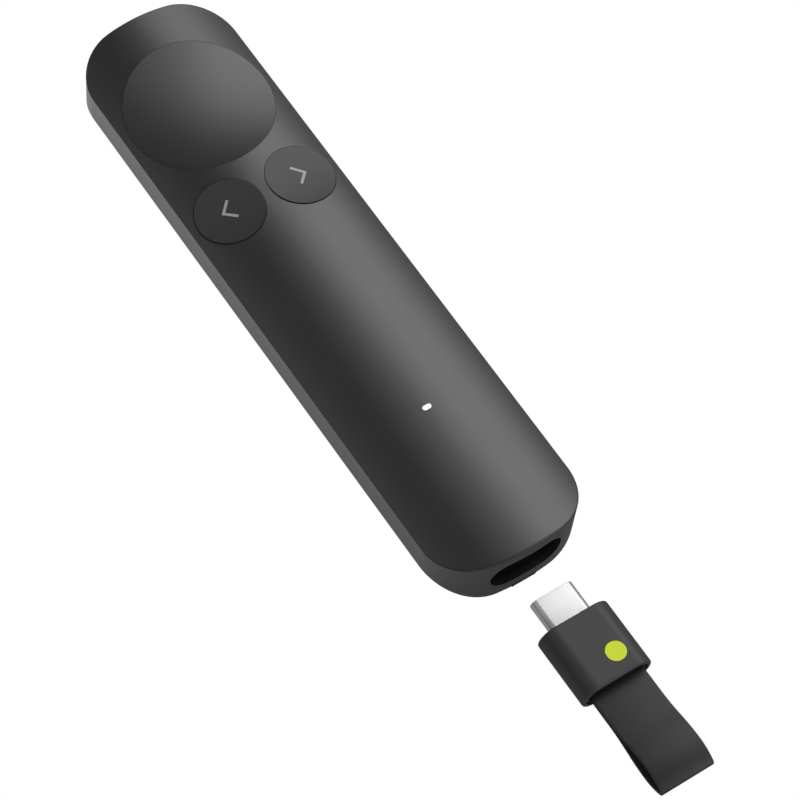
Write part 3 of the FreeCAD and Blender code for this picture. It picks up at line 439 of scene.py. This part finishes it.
def strap_line():
    """Middle line of the loop's upper side, as (y, height), from the housing to the fold."""
    run = STRAP_START - STRAP_PEAK
    gain = STRAP_RISE - STRAP_FLAT
    bend = (run ** 2 + gain ** 2) / (4.0 * gain)
    lean = math.asin(run / 2.0 / bend)
    nose_y = STRAP_TIP + STRAP_NOSE
    fall = STRAP_PEAK - nose_y
    drop = (fall ** 2 + STRAP_RISE ** 2 - STRAP_NOSE ** 2) / (2.0 * (STRAP_RISE - STRAP_NOSE))
    turn = math.asin(fall / (drop - STRAP_NOSE))
    half = STRAP_THICK / 2.0
    line = [(STRAP_ROOT, STRAP_FLAT - half), (STRAP_START, STRAP_FLAT - half)]
    line += arc(STRAP_START, STRAP_FLAT + bend, bend + half, math.pi, math.pi - lean, BEND_STEPS)
    line += arc(STRAP_PEAK, STRAP_RISE - bend, bend - half, -lean, 0.0, BEND_STEPS)
    line += arc(STRAP_PEAK, STRAP_RISE - drop, drop - half, 0.0, turn, FALL_STEPS)
    line += arc(nose_y, 0.0, STRAP_NOSE - half, turn, math.pi / 2.0, BEND_STEPS)
    return line


def strap_loop():
    """One ribbon drawn out along the loop edge by edge, then thickened and softened."""
    upper = strap_line()
    line = upper + [(y, -height) for y, height in reversed(upper[:-1])]
    first, second = line[:2]
    straight = first[0] - second[0]
    middle = (0.0, (first[0] + second[0]) / 2.0, BAY_MIDDLE + first[1])
    piece = start_mesh(bpy.ops.mesh.primitive_plane_add, (STRAP_WIDTH, straight, 1.0), middle)
    centre_y = middle[1]
    pick(piece, "edges", lambda edge: all(
        piece.data.vertices[index].co.y < centre_y for index in edge.vertices))
    for before, after in zip(line[1:], line[2:]):
        step = (0.0, after[0] - before[0], after[1] - before[1])
        bpy.ops.mesh.extrude_region_move(TRANSFORM_OT_translate={"value": step})
    bpy.ops.object.mode_set(mode="OBJECT")
    lengths = [0.0]
    for before, after in zip(line, line[1:]):
        lengths.append(lengths[-1] + math.dist(before, after))
    sheet = piece.data.uv_layers["UVMap"].data
    for corner in piece.data.loops:
        place = piece.data.vertices[corner.vertex_index].co
        if corner.vertex_index >= PLANE_CORNERS:
            count = corner.vertex_index // 2
        else:
            count = int(place.y < centre_y)
        sheet[corner.index].uv = (place.x / MM, lengths[count] / MM)
    cloth = piece.modifiers.new("thickness", "SOLIDIFY")
    cloth.thickness = STRAP_THICK
    cloth.offset = 0.0
    cloth.use_even_offset = True
    soften(piece, STRAP_EDGE)
    end_mesh(piece, "strap", STRAP_SMOOTH)
    return piece


def rounded_bar(size, middle, axis, radius):
    """Block whose four edges along one axis are rounded to the given radius."""
    piece = start_mesh(bpy.ops.mesh.primitive_cube_add, size, middle)
    pick(piece, "edges", along(piece, axis))
    bpy.ops.mesh.bevel(offset=radius, segments=QUARTER_STEPS, affect="EDGES")
    bpy.ops.mesh.select_all(action="SELECT")
    bpy.ops.mesh.remove_doubles(threshold=MERGE)
    bpy.ops.object.mode_set(mode="OBJECT")
    return piece


def plug_sleeve():
    """Round-ended metal sleeve, open at both ends, with soft rims."""
    length = PLUG_TIP - PLUG_BACK
    middle = (0.0, (PLUG_TIP + PLUG_BACK) / 2.0, BAY_MIDDLE)
    size = (PLUG_WIDTH, length, PLUG_HEIGHT)
    piece = rounded_bar(size, middle, 1, PLUG_HEIGHT / 2.0 - HAIR)
    pick(piece, "polygons", lambda face: abs(face.normal.y) > 0.9)
    bpy.ops.mesh.inset(thickness=PLUG_WALL, use_individual=True)
    bpy.ops.mesh.bridge_edge_loops()
    bpy.ops.object.mode_set(mode="OBJECT")
    soften(piece, PLUG_LIP)
    end_mesh(piece, "plug_sleeve", SHELL_SMOOTH)
    return piece


def rest_strip():
    """Long rubber strip with round ends and a tab drawn out to the tail, with soft edges."""
    size = (PAD_WIDTH, PAD_LENGTH, PAD_THICK)
    middle = (0.0, 0.0, PAD_THICK / 2.0)
    piece = rounded_bar(size, middle, 2, PAD_WIDTH / 2.0 - HAIR)
    pick(piece, "polygons", lambda face: (
        abs(face.normal.z) < 0.5 and face.center.y < 0.0 and abs(face.center.x) < PAD_TAB))
    bpy.ops.mesh.extrude_region_move(TRANSFORM_OT_translate={"value": (0.0, -PAD_DRAW, 0.0)})
    bpy.ops.transform.resize(value=(1.0, 0.0, 1.0), center_override=(0.0, PAD_TAIL, 0.0))
    bpy.ops.object.mode_set(mode="OBJECT")
    soften(piece, PAD_EDGE)
    end_mesh(piece, "rest_strip", SHELL_SMOOTH)
    return piece


hand_over(strap_loop(), strap_cloth, "strap_loop", "receiver")
hand_over(plug_sleeve(), plug_metal, "plug_shell", "receiver")
hand_over(rest_strip(), pad_black, "rest_pad", "handset")


# Stage and light

FLOOR_SIZE = 6.0
FLOOR_DROP = 0.05 * MM
FLOOR_TINT = (0.98, 0.98, 1.0, 1.0)
FLOOR_TONE = 0.2
NEAR_SIDE_GAIN = 0.38
HEAD_SIDE_GAIN = 0.7
NEAR_SIDE = (0.0, -0.03)
HEAD_SIDE = (-0.075, 0.06)
WORLD_LEVEL = 0.015
WHITE = (1.0, 1.0, 1.0, 1.0)

# Name, azimuth from +X, elevation, distance, size, power
LIGHTS = (
    ("key", 22, 47, 0.9, (0.82, 0.42), 4.3),
    ("key_upper", 35, 64, 0.9, (0.42, 0.42), 0.78),
    ("key_lower", 35, 30, 0.9, (0.42, 0.42), 0.3),
    ("tail_fill", -60, 15, 0.7, (0.4, 0.4), 1.9),
    ("side_fill", 145, 50, 0.9, (0.5, 0.5), 0.8),
    ("rim_light", -115, 30, 0.8, (0.5, 0.2), 0.8),
)


def ramp(tree, value, ends, shape):
    """Value mapped from between two ends to 0 to 1."""
    node = tree.nodes.new("ShaderNodeMapRange")
    node.interpolation_type = shape
    node.inputs["From Min"].default_value = ends[0]
    node.inputs["From Max"].default_value = ends[1]
    link(tree, value, node.inputs["Value"])
    return node.outputs["Result"]


def add_floor():
    """Pale floor, plain white to the camera.

    Its glow on the walls is strongest on the -X side, near the head.
    """
    bpy.ops.mesh.primitive_plane_add(size=FLOOR_SIZE, location=(0.0, 0.0, -FLOOR_DROP))
    floor = bpy.context.object
    floor.name = "floor"
    made = bpy.data.materials.new("pale_floor")
    made.use_nodes = True
    tree = made.node_tree
    tree.nodes.remove(tree.nodes["Principled BSDF"])
    seen = tree.nodes.new("ShaderNodeEmission")
    bounce = tree.nodes.new("ShaderNodeEmission")
    bounce.inputs["Color"].default_value = FLOOR_TINT
    place = tree.nodes.new("ShaderNodeSeparateXYZ")
    link(tree, tree.nodes.new("ShaderNodeTexCoord").outputs["Object"], place.inputs["Vector"])
    near = ramp(tree, place.outputs["X"], NEAR_SIDE, "SMOOTHSTEP")
    ahead = ramp(tree, place.outputs["Y"], HEAD_SIDE, "LINEAR")
    gain = maths(tree, "ADD", maths(tree, "MULTIPLY", ahead, HEAD_SIDE_GAIN), NEAR_SIDE_GAIN)
    level = maths(tree, "ADD", maths(tree, "MULTIPLY", near, gain), FLOOR_TONE)
    link(tree, level, bounce.inputs["Strength"])
    rays = tree.nodes.new("ShaderNodeLightPath")
    either = tree.nodes.new("ShaderNodeMixShader")
    link(tree, rays.outputs["Is Camera Ray"], either.inputs["Fac"])
    link(tree, bounce.outputs["Emission"], either.inputs[1])
    link(tree, seen.outputs["Emission"], either.inputs[2])
    link(tree, either.outputs["Shader"], tree.nodes["Material Output"].inputs["Surface"])
    floor.data.materials.append(made)


def add_light(name, azimuth, elevation, distance, size, power):
    """Soft box seen from the handset at that azimuth from +X and elevation, facing it."""
    data = bpy.data.lights.new(name, "AREA")
    data.shape = "RECTANGLE"
    data.size, data.size_y = size
    data.energy = power
    lamp = bpy.data.objects.new(name, data)
    across, up = math.radians(azimuth), math.radians(elevation)
    level = math.cos(up)
    direction = Vector((math.cos(across) * level, math.sin(across) * level, math.sin(up)))
    lamp.location = direction * distance
    lamp.rotation_mode = "QUATERNION"
    lamp.rotation_quaternion = direction.to_track_quat("Z", "Y")
    bpy.context.scene.collection.objects.link(lamp)


def add_world(level):
    """Dim, even light from all round, plain white to the camera."""
    world = bpy.data.worlds.new("studio")
    bpy.context.scene.world = world
    world.use_nodes = True
    tree = world.node_tree
    sky = tree.nodes["Background"]
    sky.inputs["Color"].default_value = WHITE
    seen = tree.nodes.new("ShaderNodeLightPath").outputs["Is Camera Ray"]
    link(tree, spread(tree, seen, level, 1.0), sky.inputs["Strength"])


add_floor()
add_world(WORLD_LEVEL)
for light in LIGHTS:
    add_light(*light)

bpy.context.scene.view_settings.view_transform = "Standard"
